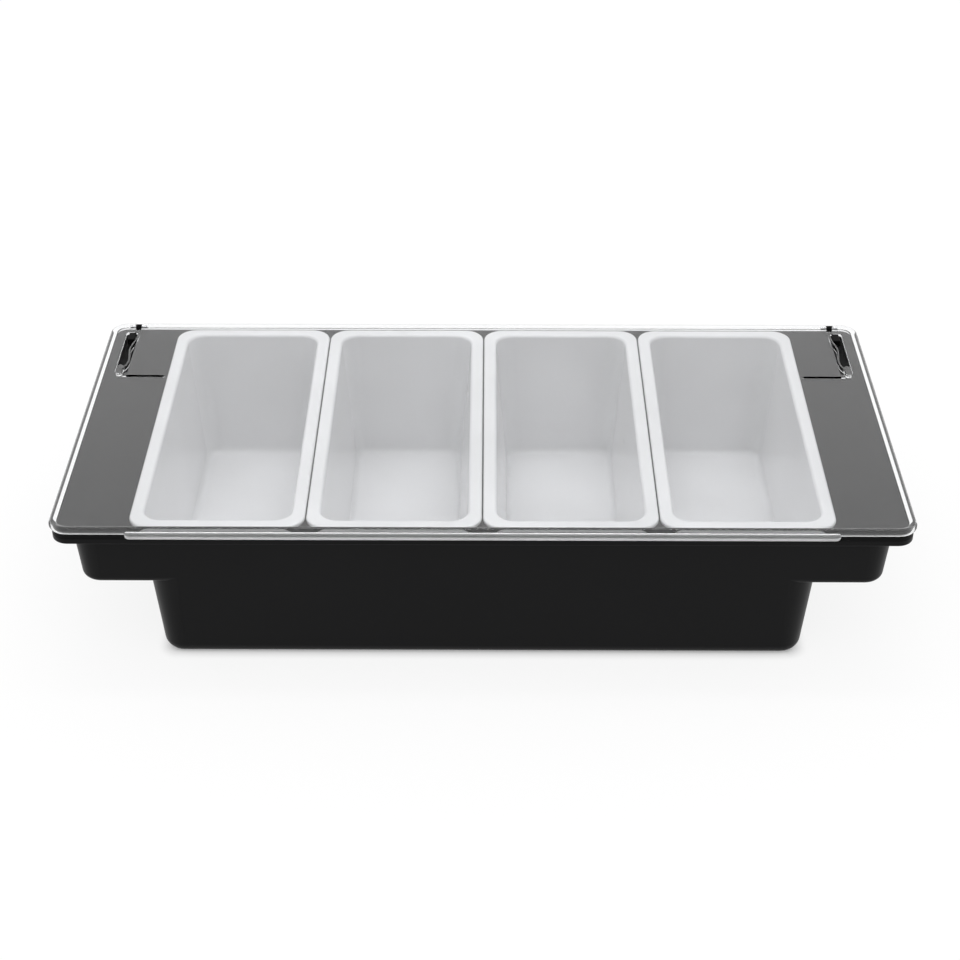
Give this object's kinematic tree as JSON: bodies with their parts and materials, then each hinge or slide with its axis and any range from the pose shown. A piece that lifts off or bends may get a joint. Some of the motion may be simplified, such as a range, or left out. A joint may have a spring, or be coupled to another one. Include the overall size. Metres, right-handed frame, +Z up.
{
  "type": "bar garnish tray",
  "caption": "Stepped black tub with end wings and a flat deck, white lift-out inserts hung side by side in it, and a clear lid with a finger lip, hinged at the rear corners.",
  "frame": {"origin": "middle of the tub's flat base, on the surface that it stands on", "axes": "+X along the tray, +Y towards the hinged rear edge, +Z up"},
  "size_m": [0.504, 0.2555, 0.104],
  "materials": {
    "black_tub": "satin moulded black",
    "black_deck": "satin moulded black",
    "black_bracket": "fine moulded black",
    "pin_steel": "ground steel",
    "clear_lid": "clear polished plastic",
    "white_insert": "satin moulded white"
  },
  "bodies": {
    "tray": {"outer_shell": "black_tub", "deck": "black_deck", "insert_1": "white_insert", "insert_2": "white_insert", "insert_3": "white_insert", "insert_4": "white_insert", "hinge_bracket_left": "black_bracket", "hinge_bracket_right": "black_bracket", "hinge_pin_left": "pin_steel", "hinge_pin_right": "pin_steel"},
    "lid": {"lid": "clear_lid"}
  },
  "joints": [
    {"name": "lid_hinge", "type": "hinge", "parent": "tray", "child": "lid", "pos_m": [0, 0.12255, 0.10155], "axis": [-1, 0, 0], "range_deg": [0, 105]}
  ]
}
